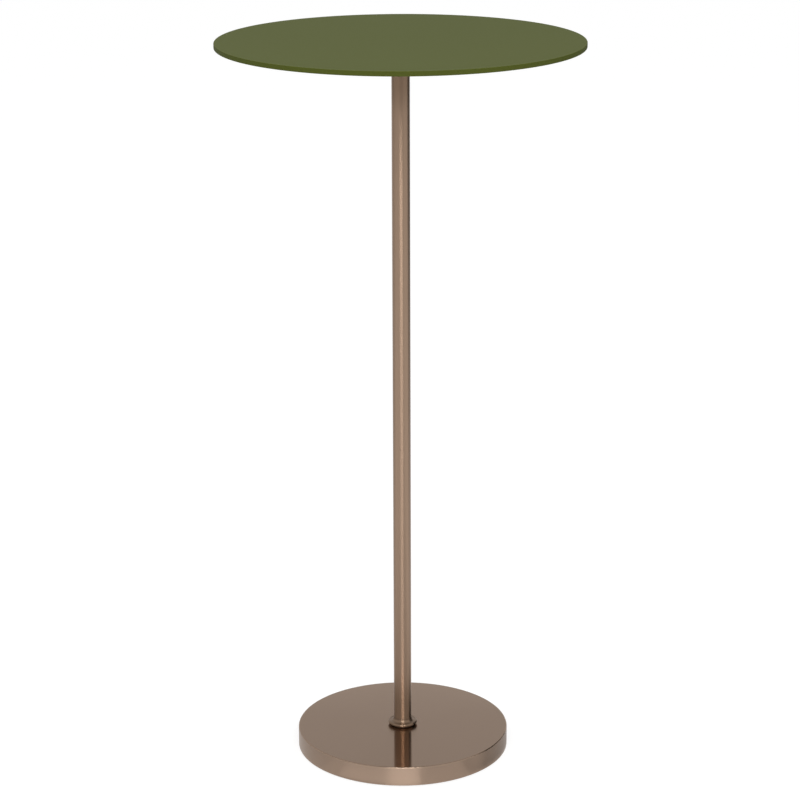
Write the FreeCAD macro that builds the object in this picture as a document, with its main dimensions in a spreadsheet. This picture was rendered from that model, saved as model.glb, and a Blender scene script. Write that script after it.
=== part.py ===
import FreeCAD, Part
import os
import re
import Sketcher

# A wine table: a round glass top on a slim pole, over a low weighted base.
# Every piece is turned about Z, which rises from the floor at the middle of the base.
# Lengths are in millimetres, and the floor is at zero.

SIZES = {
    # Whole table, floor to the upper face of the glass
    "table_height": 613.0,
    # Glass top, lacquered on its underside, with its sharp edges ground off
    "glass_diameter": 300.0,
    "glass_thickness": 4.0,
    "glass_arris": 0.4,
    # Foam pad that bonds the glass to the plate, set in from the plate's edge
    "bond_margin": 2.0,
    "bond_thickness": 0.8,
    # Steel plate under the glass
    "plate_diameter": 100.0,
    "plate_thickness": 4.0,
    "plate_edge_chamfer": 1.0,
    # Turned hub under the plate: a tapered body, a spigot in the plate and a socket for the pole
    "hub_height": 12.0,
    "hub_width": 4.8,
    "hub_lip": 1.6,
    "hub_land": 2.5,
    "hub_lip_chamfer": 0.5,
    "hub_socket_depth": 6.0,
    "hub_spigot_wall": 3.0,
    "hub_spigot_drop": 0.3,
    "hub_cap": 1.2,
    # Stud in the hub, and the screw thread that all the threaded pieces share
    "thread_diameter": 8.0,
    "stud_reach": 18.0,
    "stud_end_gap": 0.4,
    "stud_point": 0.8,
    # Pole, a round tube
    "pole_diameter": 15.0,
    "pole_wall": 1.5,
    "pole_deburr": 0.25,
    # Threaded bushes fixed inside the two ends of the pole
    "insert_length": 22.0,
    "insert_inset": 0.5,
    "insert_lead": 0.4,
    # Flared collar that seats the foot of the pole: a rounded flange with a coved neck
    "collar_width": 5.0,
    "collar_height": 5.6,
    "collar_socket_depth": 4.0,
    "collar_flange_height": 3.2,
    "collar_flange_round": 1.3,
    "collar_foot_chamfer": 1.7,
    "collar_neck_wall": 0.35,
    "collar_cove_round": 2.3,
    "collar_land": 0.1,
    # Thin black washer between the collar and the base, hidden under the flange's bevel
    "collar_washer_inset": 2.7,
    "collar_washer_thickness": 0.5,
    # Spun cover of the base, with its lower edge just clear of the floor
    "base_diameter": 181.0,
    "base_height": 16.6,
    "cover_lift": 0.8,
    "cover_wall": 0.8,
    "cover_edge_round": 1.1,
    # Cast weight inside the cover, with a drafted recess for the bolt
    "weight_clearance": 0.3,
    "weight_top_chamfer": 1.5,
    "weight_foot_chamfer": 1.0,
    "recess_diameter": 36.0,
    "recess_depth": 9.4,
    "recess_draft": 1.0,
    "recess_roof_chamfer": 1.5,
    # Washers and low-head socket screw in the recess
    "flat_washer_diameter": 24.0,
    "flat_washer_thickness": 2.0,
    "flat_washer_chamfer": 0.3,
    "spring_washer_width": 3.2,
    "spring_washer_thickness": 2.0,
    "spring_slit_gap": 1.2,
    "spring_slit_lean": 0.8,
    "bolt_length": 25.0,
    "bolt_head_diameter": 13.0,
    "bolt_head_height": 5.0,
    "bolt_head_chamfer": 0.6,
    "bolt_point": 1.0,
    "hex_across_flats": 5.0,
    "hex_depth": 2.7,
    # Rubber ring that the table stands on
    "pad_thickness": 2.2,
    "pad_margin": 3.0,
    "pad_hole_diameter": 44.0,
    "pad_edge_chamfer": 0.5,
    # Room round a fitted piece, room round a bolt, and how far a cut runs past its piece
    "fit_clearance": 0.05,
    "bolt_clearance": 0.25,
    "cut_overrun": 1.0,
}

RULES = {
    # Radii
    "glass_radius": "glass_diameter / 2",
    "plate_radius": "plate_diameter / 2",
    "bond_radius": "plate_radius - bond_margin",
    "pole_radius": "pole_diameter / 2",
    "pole_bore_radius": "pole_radius - pole_wall",
    "pole_socket_radius": "pole_radius + fit_clearance",
    "thread_radius": "thread_diameter / 2",
    "tapped_radius": "thread_radius + fit_clearance",
    "bolt_hole_radius": "thread_radius + bolt_clearance",
    "insert_radius": "pole_bore_radius - fit_clearance",
    "hub_radius": "pole_radius + hub_width",
    "hub_lip_radius": "pole_radius + hub_lip",
    "hub_spigot_radius": "thread_radius + hub_spigot_wall",
    "plate_hole_radius": "hub_spigot_radius + fit_clearance",
    "collar_radius": "pole_radius + collar_width",
    "collar_neck_radius": "pole_socket_radius + collar_neck_wall",
    "collar_washer_radius": "collar_radius - collar_washer_inset",
    "base_radius": "base_diameter / 2",
    "cover_inner_radius": "base_radius - cover_wall",
    "weight_radius": "cover_inner_radius - weight_clearance",
    "recess_radius": "recess_diameter / 2",
    "recess_mouth_radius": "recess_radius + recess_draft",
    "flat_washer_radius": "flat_washer_diameter / 2",
    "spring_washer_radius": "bolt_hole_radius + spring_washer_width",
    "bolt_head_radius": "bolt_head_diameter / 2",
    "hex_corner_radius": "hex_across_flats / 2 / cos(30)",
    "pad_radius": "weight_radius - pad_margin",
    "pad_hole_radius": "pad_hole_diameter / 2",
    # Levels above the floor, from the floor up
    "cover_top": "cover_lift + base_height",
    "weight_top": "cover_top - cover_wall",
    "recess_roof": "pad_thickness + recess_depth",
    "flat_washer_foot": "recess_roof - flat_washer_thickness",
    "spring_washer_foot": "flat_washer_foot - spring_washer_thickness",
    "bolt_foot": "spring_washer_foot - bolt_head_height",
    "collar_foot": "cover_top + collar_washer_thickness",
    "collar_top": "collar_foot + collar_height",
    "pole_foot": "collar_top - collar_socket_depth",
    "lower_insert_foot": "pole_foot + insert_inset",
    # Levels above the floor, from the glass down
    "glass_foot": "table_height - glass_thickness",
    "bond_foot": "glass_foot - bond_thickness",
    "plate_foot": "bond_foot - plate_thickness",
    "hub_foot": "plate_foot - hub_height",
    "pole_top": "hub_foot + hub_socket_depth",
    "upper_insert_foot": "pole_top - insert_inset - insert_length",
    "stud_foot": "pole_top - stud_reach",
    # Heights within a piece
    "pole_length": "pole_top - pole_foot",
    "weight_thickness": "weight_top - pad_thickness",
    "cover_ceiling": "base_height - cover_wall",
    "cover_shoulder": "min(cover_edge_round; 2 * cover_wall)",
    "collar_seat": "collar_height - collar_socket_depth",
    "collar_bead": "min(collar_flange_round; collar_flange_height - collar_foot_chamfer - collar_land)",
    "collar_neck": "collar_height - collar_flange_height",
    "collar_ledge": "collar_radius - collar_neck_radius - collar_bead",
    "collar_cove": "min(collar_cove_round; collar_neck - collar_land; collar_ledge - collar_land)",
    "hub_spigot_top": "hub_height + plate_thickness - hub_spigot_drop",
    "stud_hole_top": "hub_spigot_top - hub_cap",
    "stud_length": "stud_reach + stud_hole_top - hub_socket_depth - stud_end_gap",
    "bolt_tip": "bolt_head_height + bolt_length",
    "insert_bevel": "min(insert_lead; (insert_radius - tapped_radius) / 3)",
}

ON_AXIS = "0"
AT_FOOT = "0"
ORIGIN_INDICES = (-1, 1)
HORIZONTAL_AXIS_INDEX = -1
VERTICAL_AXIS_INDEX = -2
HEX_SIDES = 6
SAME_PLACE = 1e-6

doc = FreeCAD.newDocument("wine_table")
sheet = doc.addObject("Spreadsheet::Sheet", "Sizes")
for row, (name, length) in enumerate(SIZES.items(), start=1):
    sheet.set("A%d" % row, name)
    sheet.set("B%d" % row, str(length))
    sheet.setAlias("B%d" % row, name)
doc.recompute()


def bound(rule):
    """The rule with each size written as its cell and each named rule written out."""
    def written(found):
        word = found.group()
        if word in SIZES:
            return "Sizes." + word
        if word in RULES:
            return "(" + bound(RULES[word]) + ")"
        return word
    return re.sub(r"[a-z_]+", written, rule)


def value(rule):
    """The length that a rule gives for the sheet as it stands."""
    return float(sheet.evalExpression(bound(rule)))


def sketch_on(body, role, name):
    """A new sketch on one of the body's own origin planes."""
    sketch = body.newObject("Sketcher::SketchObject", body.Label + "_" + name)
    planes = {plane.Role: plane for plane in body.Origin.OriginFeatures}
    sketch.AttachmentSupport = [(planes[role], "")]
    sketch.MapMode = "FlatFace"
    return sketch


def pin(sketch, line, kind, rule, axis):
    """Hold the start of a line at a signed distance from the origin along one axis."""
    length = value(rule)
    if abs(length) < SAME_PLACE:
        sketch.addConstraint(Sketcher.Constraint("PointOnObject", line, 1, axis))
    elif length > 0:
        held = sketch.addConstraint(Sketcher.Constraint(kind, *ORIGIN_INDICES, line, 1, length))
        sketch.setExpression("Constraints[%d]" % held, bound(rule))
    else:
        held = sketch.addConstraint(Sketcher.Constraint(kind, line, 1, *ORIGIN_INDICES, -length))
        sketch.setExpression("Constraints[%d]" % held, "-(%s)" % bound(rule))


def close_loop(sketch, points):
    """Straight lines from each point to the next, and from the last to the first."""
    for start, end in zip(points, points[1:] + points[:1]):
        sketch.addGeometry(Part.LineSegment(start, end), False)
    for line in range(len(points)):
        following = (line + 1) % len(points)
        sketch.addConstraint(Sketcher.Constraint("Coincident", line, 2, following, 1))


def draw(sketch, outline):
    """A closed outline whose corners are pairs of rules, each held by the sizes."""
    close_loop(sketch, [FreeCAD.Vector(value(across), value(up), 0) for across, up in outline])
    for line, (across, up) in enumerate(outline):
        pin(sketch, line, "DistanceX", across, VERTICAL_AXIS_INDEX)
        pin(sketch, line, "DistanceY", up, HORIZONTAL_AXIS_INDEX)


def turned(label, foot, outline):
    """A body turned about Z from an outline of (radius, height) corners, standing at its foot level."""
    body = doc.addObject("PartDesign::Body", label)
    body.Label = label
    body.setExpression("Placement.Base.z", bound(foot))
    sketch = sketch_on(body, "XZ_Plane", "outline")
    draw(sketch, outline)
    turn = body.newObject("PartDesign::Revolution", label + "_turn")
    turn.Profile = sketch
    turn.ReferenceAxis = (sketch, ["V_Axis"])
    doc.recompute()
    return body


def disc(radius, thickness):
    """The outline of a plain disc."""
    return [(ON_AXIS, AT_FOOT), (radius, AT_FOOT), (radius, thickness), (ON_AXIS, thickness)]


def ring(inner, outer, thickness):
    """The outline of a flat ring."""
    return [(inner, AT_FOOT), (outer, AT_FOOT), (outer, thickness), (inner, thickness)]


def rim(shape, radius, height):
    """The name of the round edge of that radius at that height."""
    for number, edge in enumerate(shape.Edges, start=1):
        if not isinstance(edge.Curve, Part.Circle):
            continue
        off_radius = abs(edge.Curve.Radius - value(radius))
        off_height = abs(edge.Curve.Center.z - value(height))
        if max(off_radius, off_height) < SAME_PLACE:
            return "Edge%d" % number
    raise ValueError("no round edge of %s at %s" % (radius, height))


def dress(body, kind, sized, size, rims):
    """One fillet or chamfer on the round edges at the given (radius, height) places."""
    base = body.Tip
    edges = [rim(base.Shape, radius, height) for radius, height in rims]
    feature = body.newObject("PartDesign::" + kind, "%s_%s" % (body.Label, kind.lower()))
    feature.Base = (base, edges)
    feature.setExpression(sized, bound(size))
    doc.recompute()


def fillet(body, size, *rims):
    """Round the given rims."""
    dress(body, "Fillet", "Radius", size, rims)


def chamfer(body, size, *rims):
    """Bevel the given rims."""
    dress(body, "Chamfer", "Size", size, rims)


def pocket(body, sketch, depth, reverse):
    """Cut the sketch's outline into the body, and make sure that the cut took something away."""
    volume = body.Shape.Volume
    cut = body.newObject("PartDesign::Pocket", sketch.Label + "_cut")
    cut.Profile = sketch
    cut.Reversed = reverse
    cut.setExpression("Length", bound(depth))
    doc.recompute()
    if not body.Shape.Volume < volume:
        raise ValueError(sketch.Label + " cuts nothing")


# Glass top
glass_top = turned("glass_top", "glass_foot", disc("glass_radius", "glass_thickness"))
chamfer(glass_top, "glass_arris", ("glass_radius", AT_FOOT), ("glass_radius", "glass_thickness"))

# Foam pad between the glass and the plate
bond_pad = turned("bond_pad", "bond_foot", disc("bond_radius", "bond_thickness"))

# Steel plate, with a hole that the hub's spigot is welded into
mounting_plate = turned("mounting_plate", "plate_foot",
                        ring("plate_hole_radius", "plate_radius", "plate_thickness"))
chamfer(mounting_plate, "plate_edge_chamfer", ("plate_radius", AT_FOOT))

# Hub: a tapered body with a socket for the pole, a blind hole for the stud and a spigot on top
plate_hub = turned("plate_hub", "hub_foot", [
    (ON_AXIS, "stud_hole_top"),
    ("tapped_radius", "stud_hole_top"),
    ("tapped_radius", "hub_socket_depth"),
    ("pole_socket_radius", "hub_socket_depth"),
    ("pole_socket_radius", AT_FOOT),
    ("hub_lip_radius", AT_FOOT),
    ("hub_lip_radius", "hub_land"),
    ("hub_radius", "hub_height - hub_land"),
    ("hub_radius", "hub_height"),
    ("hub_spigot_radius", "hub_height"),
    ("hub_spigot_radius", "hub_spigot_top"),
    (ON_AXIS, "hub_spigot_top"),
])
chamfer(plate_hub, "hub_lip_chamfer", ("hub_lip_radius", AT_FOOT))

# Stud that holds the top to the pole
top_stud = turned("top_stud", "stud_foot", disc("thread_radius", "stud_length"))
chamfer(top_stud, "stud_point", ("thread_radius", AT_FOOT), ("thread_radius", "stud_length"))

# Pole
pole_tube = turned("pole_tube", "pole_foot", ring("pole_bore_radius", "pole_radius", "pole_length"))
chamfer(pole_tube, "pole_deburr", ("pole_radius", AT_FOOT), ("pole_radius", "pole_length"))

# Threaded bushes in the ends of the pole
inserts = []
for end in ("lower", "upper"):
    bush = turned(end + "_insert", end + "_insert_foot",
                  ring("tapped_radius", "insert_radius", "insert_length"))
    chamfer(bush, "insert_bevel", ("insert_radius", AT_FOOT), ("insert_radius", "insert_length"),
            ("tapped_radius", AT_FOOT), ("tapped_radius", "insert_length"))
    inserts.append(bush)

# Collar: a flared ring with a socket for the pole and a hole for the bolt
collar = turned("collar", "collar_foot", [
    ("bolt_hole_radius", AT_FOOT),
    ("collar_radius", AT_FOOT),
    ("collar_radius", "collar_flange_height"),
    ("collar_neck_radius", "collar_flange_height"),
    ("collar_neck_radius", "collar_height"),
    ("pole_socket_radius", "collar_height"),
    ("pole_socket_radius", "collar_seat"),
    ("bolt_hole_radius", "collar_seat"),
])
fillet(collar, "collar_bead", ("collar_radius", "collar_flange_height"))
fillet(collar, "collar_cove", ("collar_neck_radius", "collar_flange_height"))
chamfer(collar, "collar_foot_chamfer", ("collar_radius", AT_FOOT))

# Washer under the collar
collar_washer = turned("collar_washer", "cover_top",
                       ring("bolt_hole_radius", "collar_washer_radius", "collar_washer_thickness"))

# Cover of the base: a spun shell with a rounded shoulder
base_cover = turned("base_cover", "cover_lift", [
    ("bolt_hole_radius", "cover_ceiling"),
    ("cover_inner_radius", "cover_ceiling"),
    ("cover_inner_radius", AT_FOOT),
    ("base_radius", AT_FOOT),
    ("base_radius", "base_height"),
    ("bolt_hole_radius", "base_height"),
])
fillet(base_cover, "cover_shoulder", ("base_radius", "base_height"))

# Cast weight, hung from the cover's ceiling, with a drafted recess in its underside
base_weight = turned("base_weight", "pad_thickness", [
    ("bolt_hole_radius", "recess_depth"),
    ("recess_radius", "recess_depth"),
    ("recess_mouth_radius", AT_FOOT),
    ("weight_radius", AT_FOOT),
    ("weight_radius", "weight_thickness"),
    ("bolt_hole_radius", "weight_thickness"),
])
chamfer(base_weight, "weight_top_chamfer", ("weight_radius", "weight_thickness"))
chamfer(base_weight, "weight_foot_chamfer", ("weight_radius", AT_FOOT))
chamfer(base_weight, "recess_roof_chamfer", ("recess_radius", "recess_depth"))

# Flat washer against the recess roof
flat_washer = turned("flat_washer", "flat_washer_foot",
                     ring("bolt_hole_radius", "flat_washer_radius", "flat_washer_thickness"))
chamfer(flat_washer, "flat_washer_chamfer", ("flat_washer_radius", AT_FOOT))

# Spring washer, pressed flat, with a leaning slit through one side
spring_washer = turned("spring_washer", "spring_washer_foot",
                       ring("bolt_hole_radius", "spring_washer_radius", "spring_washer_thickness"))
slit = sketch_on(spring_washer, "XZ_Plane", "slit")
draw(slit, [
    ("-spring_slit_lean - spring_slit_gap / 2", "-cut_overrun"),
    ("-spring_slit_lean + spring_slit_gap / 2", "-cut_overrun"),
    ("spring_slit_lean + spring_slit_gap / 2", "spring_washer_thickness + cut_overrun"),
    ("spring_slit_lean - spring_slit_gap / 2", "spring_washer_thickness + cut_overrun"),
])
pocket(spring_washer, slit, "spring_washer_radius + cut_overrun", False)

# Low-head socket screw, head down
base_bolt = turned("base_bolt", "bolt_foot", [
    (ON_AXIS, AT_FOOT),
    ("bolt_head_radius", AT_FOOT),
    ("bolt_head_radius", "bolt_head_height"),
    ("thread_radius", "bolt_head_height"),
    ("thread_radius", "bolt_tip"),
    (ON_AXIS, "bolt_tip"),
])
chamfer(base_bolt, "bolt_head_chamfer", ("bolt_head_radius", AT_FOOT))
chamfer(base_bolt, "bolt_point", ("thread_radius", "bolt_tip"))

# Hexagon in the screw's head: equal sides between corners that lie on one circle
hexagon = sketch_on(base_bolt, "XY_Plane", "hexagon")
corner = FreeCAD.Vector(value("hex_corner_radius"), 0, 0)
turn_of_side = FreeCAD.Rotation(FreeCAD.Vector(0, 0, 1), 360 / HEX_SIDES)
corners = [corner]
while len(corners) < HEX_SIDES:
    corners.append(turn_of_side.multVec(corners[-1]))
close_loop(hexagon, corners)
circle = hexagon.addGeometry(Part.Circle(FreeCAD.Vector(), FreeCAD.Vector(0, 0, 1), corner.x), True)
hexagon.addConstraint(Sketcher.Constraint("Coincident", circle, 3, *ORIGIN_INDICES))
hexagon.addConstraint(Sketcher.Constraint("PointOnObject", 0, 1, HORIZONTAL_AXIS_INDEX))
for side in range(HEX_SIDES):
    hexagon.addConstraint(Sketcher.Constraint("PointOnObject", side, 1, circle))
for side in range(1, HEX_SIDES):
    hexagon.addConstraint(Sketcher.Constraint("Equal", 0, side))
across = hexagon.addConstraint(Sketcher.Constraint("Radius", circle, corner.x))
hexagon.setExpression("Constraints[%d]" % across, bound("hex_corner_radius"))
pocket(base_bolt, hexagon, "hex_depth", True)

# Rubber ring under the weight
foot_pad = turned("foot_pad", AT_FOOT, ring("pad_hole_radius", "pad_radius", "pad_thickness"))
chamfer(foot_pad, "pad_edge_chamfer", ("pad_radius", AT_FOOT), ("pad_hole_radius", AT_FOOT))

pieces = [
    glass_top, bond_pad, mounting_plate, plate_hub, top_stud, pole_tube, *inserts, collar, collar_washer,
    base_cover, base_weight, flat_washer, spring_washer, base_bolt, foot_pad,
]

# Every object and every piece has to be sound before anything is written
for thing in doc.Objects:
    if {"Invalid", "Error"} & set(thing.State):
        raise RuntimeError("%s failed: %s" % (thing.Label, thing.State))
for piece in pieces:
    if piece.Shape.isNull() or not piece.Shape.isValid() or len(piece.Shape.Solids) != 1:
        raise RuntimeError(piece.Label + " is not one sound solid")

os.makedirs("parts", exist_ok=True)
for piece in pieces:
    piece.Shape.exportStep("parts/%s.step" % piece.Label)
    volume, extent = piece.Shape.Volume, piece.Shape.optimalBoundingBox(True, False)
    print("%-16s %10.1f mm3, from %7.2f to %7.2f" % (piece.Label, volume, extent.ZMin, extent.ZMax))
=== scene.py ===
# %% [markdown]
# # A wine table in brushed bronze and green glass
#
# A wine table is a small stand for a glass or a bottle: a thin round top, one slim pole and a heavy low
# foot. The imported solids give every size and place, so nothing is fitted here. Each solid is turned again
# as a fine, smooth surface with the small rounds that catch the light, and gets the finish of the real
# piece.

# %% Load the fixed frame
import math

import bpy
import numpy as np
from mathutils import Matrix, Vector


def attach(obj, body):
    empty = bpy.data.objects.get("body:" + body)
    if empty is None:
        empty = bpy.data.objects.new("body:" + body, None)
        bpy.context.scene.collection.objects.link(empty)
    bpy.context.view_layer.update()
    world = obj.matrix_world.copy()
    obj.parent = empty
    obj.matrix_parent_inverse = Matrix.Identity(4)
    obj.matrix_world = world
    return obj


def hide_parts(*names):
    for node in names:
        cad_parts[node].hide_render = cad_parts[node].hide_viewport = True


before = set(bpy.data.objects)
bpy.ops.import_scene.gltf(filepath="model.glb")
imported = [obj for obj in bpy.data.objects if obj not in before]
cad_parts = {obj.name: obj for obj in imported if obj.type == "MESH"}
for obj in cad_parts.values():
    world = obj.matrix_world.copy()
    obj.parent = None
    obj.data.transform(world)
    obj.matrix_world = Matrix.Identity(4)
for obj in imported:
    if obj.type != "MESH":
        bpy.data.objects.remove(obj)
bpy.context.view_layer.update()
MM = 0.001
print("solids", sorted(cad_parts))

# %% [markdown]
# ## The camera comes first
#
# Every later choice is judged through the camera, so it is set before anything is made. A long lens a
# little over two metres away looks down at the table by about seventeen degrees, which gives the flat oval
# of the top and the rounder oval of the base. The image is square, and the lens is written as its focal
# length in pixels.

# %% Place the camera
IMAGE_PIXELS = 800
FOCAL_PIXELS = 2526
SENSOR_MM = 36.0
CAMERA_DISTANCE = 2.025
CAMERA_HEIGHT = 0.924
CAMERA_SIDE = -0.0014
CAMERA_TILT_DOWN = math.radians(16.83)
CAMERA_ROLL = math.radians(-0.2)

camera_data = bpy.data.cameras.new("front_camera")
camera_data.sensor_width = SENSOR_MM
camera_data.lens = SENSOR_MM * FOCAL_PIXELS / IMAGE_PIXELS
camera = bpy.data.objects.new("front_camera", camera_data)
camera.matrix_world = (Matrix.Translation((CAMERA_SIDE, -CAMERA_DISTANCE, CAMERA_HEIGHT))
                       @ Matrix.Rotation(math.pi / 2 - CAMERA_TILT_DOWN, 4, "X")
                       @ Matrix.Rotation(CAMERA_ROLL, 4, "Z"))
bpy.context.scene.collection.objects.link(camera)
bpy.context.scene.camera = camera
print("lens", round(camera_data.lens, 1), "mm")

# %% [markdown]
# ## Reading sizes from the solids
#
# Every piece is round about the pole, so four numbers place it: its inner radius, its outer radius, its
# foot and its top. They are read from the solid's own corners, so a change of size in the solids changes
# the looks.

# %% Measure the round solids
def reach(node):
    """Inner radius, outer radius, foot level and top level of a round solid, in metres."""
    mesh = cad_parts[node].data
    points = np.empty(3 * len(mesh.vertices), np.float32)
    mesh.vertices.foreach_get("co", points)
    points = points.reshape(-1, 3).astype(float)
    radii = np.hypot(points[:, 0], points[:, 1])
    return radii.min(), radii.max(), points[:, 2].min(), points[:, 2].max()


sizes = {node: reach(node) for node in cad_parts}
for node, (inner, outer, foot, top) in sorted(sizes.items()):
    print(f"{node:15s} r {inner / MM:6.2f} to {outer / MM:7.2f}, z {foot / MM:7.2f} to {top / MM:7.2f} mm")

# %% [markdown]
# ## A lathe made of arrays
#
# Real collars, covers and washers are turned or spun: a cutter follows an outline while the work goes
# round. The same idea makes the meshes. An outline has straight runs between corners, and each corner is
# rounded by an arc, because no tool leaves an edge quite sharp.

# %% Round one corner
ARC_STEPS = 9


def rounded_corner(spot, back, ahead, size):
    """Points of the arc of a given size that rounds a corner between two neighbours.

    With f half the angle between the unit directions a and b to the neighbours, the arc's centre lies at
    size / sin(f) along a + b, and the arc touches both sides at size / tan(f) from the corner. The points
    between the two touching points turn evenly about the centre.
    """
    back, ahead = ((other - spot) / np.linalg.norm(other - spot) for other in (back, ahead))
    half = math.acos(np.clip(back @ ahead, -1, 1)) / 2
    centre = spot + (back + ahead) / np.linalg.norm(back + ahead) * size / math.sin(half)
    first, last = (spot + side * size / math.tan(half) - centre for side in (back, ahead))
    turn = math.pi - 2 * half
    share = np.linspace(0, 1, ARC_STEPS)[:, None]
    return centre + (np.sin((1 - share) * turn) * first + np.sin(share * turn) * last) / math.sin(turn)


print("a rounded corner has", ARC_STEPS, "points")

# %% [markdown]
# The outline joins those arcs. Extra points sit close to the ends of each run, so that smooth shading bends
# only at the round and a flat face stays flat. Each point also says whether it lies on a round, because a
# polishing wheel bites there most.

# %% Join the corners to an outline
SUPPORT = 0.25 * MM
SUPPORT_SHARE = 0.25


def outline_of(corners, closed):
    """Points (radius, height, edge) along corners of (radius, height, round).

    The edge is 1 on a round and 0 on a straight run.
    """
    spots, rounds = np.hsplit(np.asarray(corners, float), [2])
    following = np.roll(spots, -1, axis=0)
    arcs = [rounded_corner(spot, spots[i - 1], following[i], size[0]) if size[0] else spot[None]
            for i, (spot, size) in enumerate(zip(spots, rounds))]
    points, edges = [], []
    for here, after in zip(arcs, arcs[1:] + arcs[:1] * closed):
        run = after[0] - here[-1]
        length = np.linalg.norm(run)
        step = run / length * min(SUPPORT, SUPPORT_SHARE * length)
        points += [here, here[-1:] + step, after[:1] - step]
        edges += [len(here) > 1] * len(here) + [False, False]
    points.append(arcs[0][:1] if closed else arcs[-1])
    edges += [False] * len(points[-1])
    return np.column_stack([np.vstack(points), edges])


print("extra points lie up to", SUPPORT / MM, "mm from a round")

# %% [markdown]
# The second half of the lathe makes a mesh from a grid of points. One direction of the grid follows the
# outline and the other goes round the axis. Neighbours on the grid share a face, and points that fall
# together become one.

# %% Turn a grid of points into a mesh
CREASE = math.radians(32)
MERGE = 1e-4 * MM


def lay_mesh(name, points, uv, edge):
    """A smooth mesh from a grid of points, with the UV and the edge mark of each.

    Grid points at one place, as at a seam or at the axis, become one corner. A face that loses a corner this
    way becomes a triangle, and one that loses two is left out.
    """
    def around(grid):
        ring = [grid[:-1, :-1], grid[:-1, 1:], grid[1:, 1:], grid[1:, :-1]]
        return np.stack(ring, axis=2).reshape(-1, 4, *grid.shape[2:])

    cells = np.round(points.reshape(-1, 3) / MERGE).astype(np.int64)
    _, first, index = np.unique(cells, axis=0, return_index=True, return_inverse=True)
    corners = around(index.reshape(points.shape[:2]))
    keep = corners != np.roll(corners, -1, axis=1)
    keep &= keep.sum(axis=1, keepdims=True) > 2
    counts = keep.sum(axis=1)
    counts = counts[counts > 0]
    mesh = bpy.data.meshes.new(name)
    mesh.vertices.add(len(first))
    mesh.vertices.foreach_set("co", points.reshape(-1, 3)[first].astype(np.float32).ravel())
    mesh.loops.add(int(counts.sum()))
    mesh.loops.foreach_set("vertex_index", corners[keep].astype(np.int32))
    mesh.polygons.add(len(counts))
    mesh.polygons.foreach_set("loop_start", (np.cumsum(counts) - counts).astype(np.int32))
    mesh.polygons.foreach_set("use_smooth", np.ones(len(counts), bool))
    mesh.uv_layers.new(name="turned").data.foreach_set("uv", around(uv)[keep].astype(np.float32).ravel())
    mark = mesh.attributes.new("edge", "FLOAT", "POINT")
    mark.data.foreach_set("value", edge.ravel()[first].astype(np.float32))
    mesh.update(calc_edges=True)
    mesh.set_sharp_from_angle(angle=CREASE)
    return mesh


print("edges bent by more than", round(math.degrees(CREASE)), "degrees stay sharp")

# %% [markdown]
# With both halves in place, one call turns a piece from the corners of its outline. All the points come
# from one array product: radius times the cosine and sine of every angle. The UV map runs along the outline
# in U and round the axis in V, because the brushing of a turned piece follows those two directions. The
# corners run from the foot outwards, up and back in, which makes every face look outwards. A ring's outline
# closes on itself. A solid disc's outline starts and ends on the axis.

# %% Turn a piece from its corners
SEGMENTS = 192
full_turn = np.linspace(0, 2 * math.pi, SEGMENTS + 1)


def carried_round(name, radius, height, edge, angle):
    """Place radius and height at every angle: x = r cos a, y = r sin a, z = h."""
    radius, height, edge, angle = np.broadcast_arrays(radius, height, edge, angle)
    points = np.stack([radius * np.cos(angle), radius * np.sin(angle), height], axis=-1)
    steps = np.hypot(np.diff(radius, axis=0), np.diff(height, axis=0))
    travel = np.vstack([np.zeros_like(steps[:1]), np.cumsum(steps, axis=0)])
    return lay_mesh(name, points, np.stack([travel, angle * radius.max()], axis=-1), edge)


def turned(name, corners, closed=True):
    """A piece turned about Z from corners of (radius, height, round)."""
    radius, height, edge = np.hsplit(outline_of(corners, closed), 3)
    return carried_round(name, radius, height, edge, full_turn)


print("a full turn has", SEGMENTS, "steps")

# %% [markdown]
# A finished mesh becomes a piece of the table in one step: it gets its finish, stands for its solid and rides
# on the table's one body. Where a piece has two finishes, the faces that stand upright get the second one.

# %% Stand a mesh in for its solid
UPRIGHT = 0.7


def show(mesh, node, finish, upright_finish=None):
    """Make the mesh a piece that replaces the solid.

    A face counts as upright where the height of its unit normal, up or down, is under the upright limit.
    """
    mesh.materials.append(finish)
    if upright_finish:
        mesh.materials.append(upright_finish)
        normals = np.empty(3 * len(mesh.polygons), np.float32)
        mesh.polygons.foreach_get("normal", normals)
        mesh.polygons.foreach_set("material_index", (np.abs(normals[2::3]) < UPRIGHT).astype(np.int32))
    piece = bpy.data.objects.new(mesh.name, mesh)
    bpy.context.scene.collection.objects.link(piece)
    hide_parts(node)
    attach(piece, "root")
    print(f"{mesh.name}: {len(mesh.polygons)} faces for {node}")


# %% [markdown]
# ## Finishes
#
# A finish is a small graph of nodes. Two tools keep the graphs below short enough to read as sentences: one
# adds a node with its inputs set, the other feeds the inputs of a node that is already there.

# %% Add and feed nodes
def graph_of(owner):
    """Two tools for the node graph of a material or a world.

    The first makes a node, and the second sets or links the inputs of a node that is already there.
    """
    owner.use_nodes = True
    nodes, links = owner.node_tree.nodes, owner.node_tree.links

    def feed(node, inputs):
        for key, source in inputs.items():
            if isinstance(source, bpy.types.NodeSocket):
                links.new(source, node.inputs[key])
            else:
                node.inputs[key].default_value = source

    def add(kind, inputs=(), **settings):
        node = nodes.new("ShaderNode" + kind)
        for key, setting in settings.items():
            setattr(node, key, setting)
        feed(node, dict(inputs))
        return node

    return add, lambda name, inputs: feed(nodes[name], inputs)


print("helper", graph_of.__name__)

# %% [markdown]
# Five patterns come up again and again in the finishes: a noise, a blend of two colours, a mix of two
# numbers, a range of numbers and a relief. Each is one node, so each gets a helper of one line.

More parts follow.
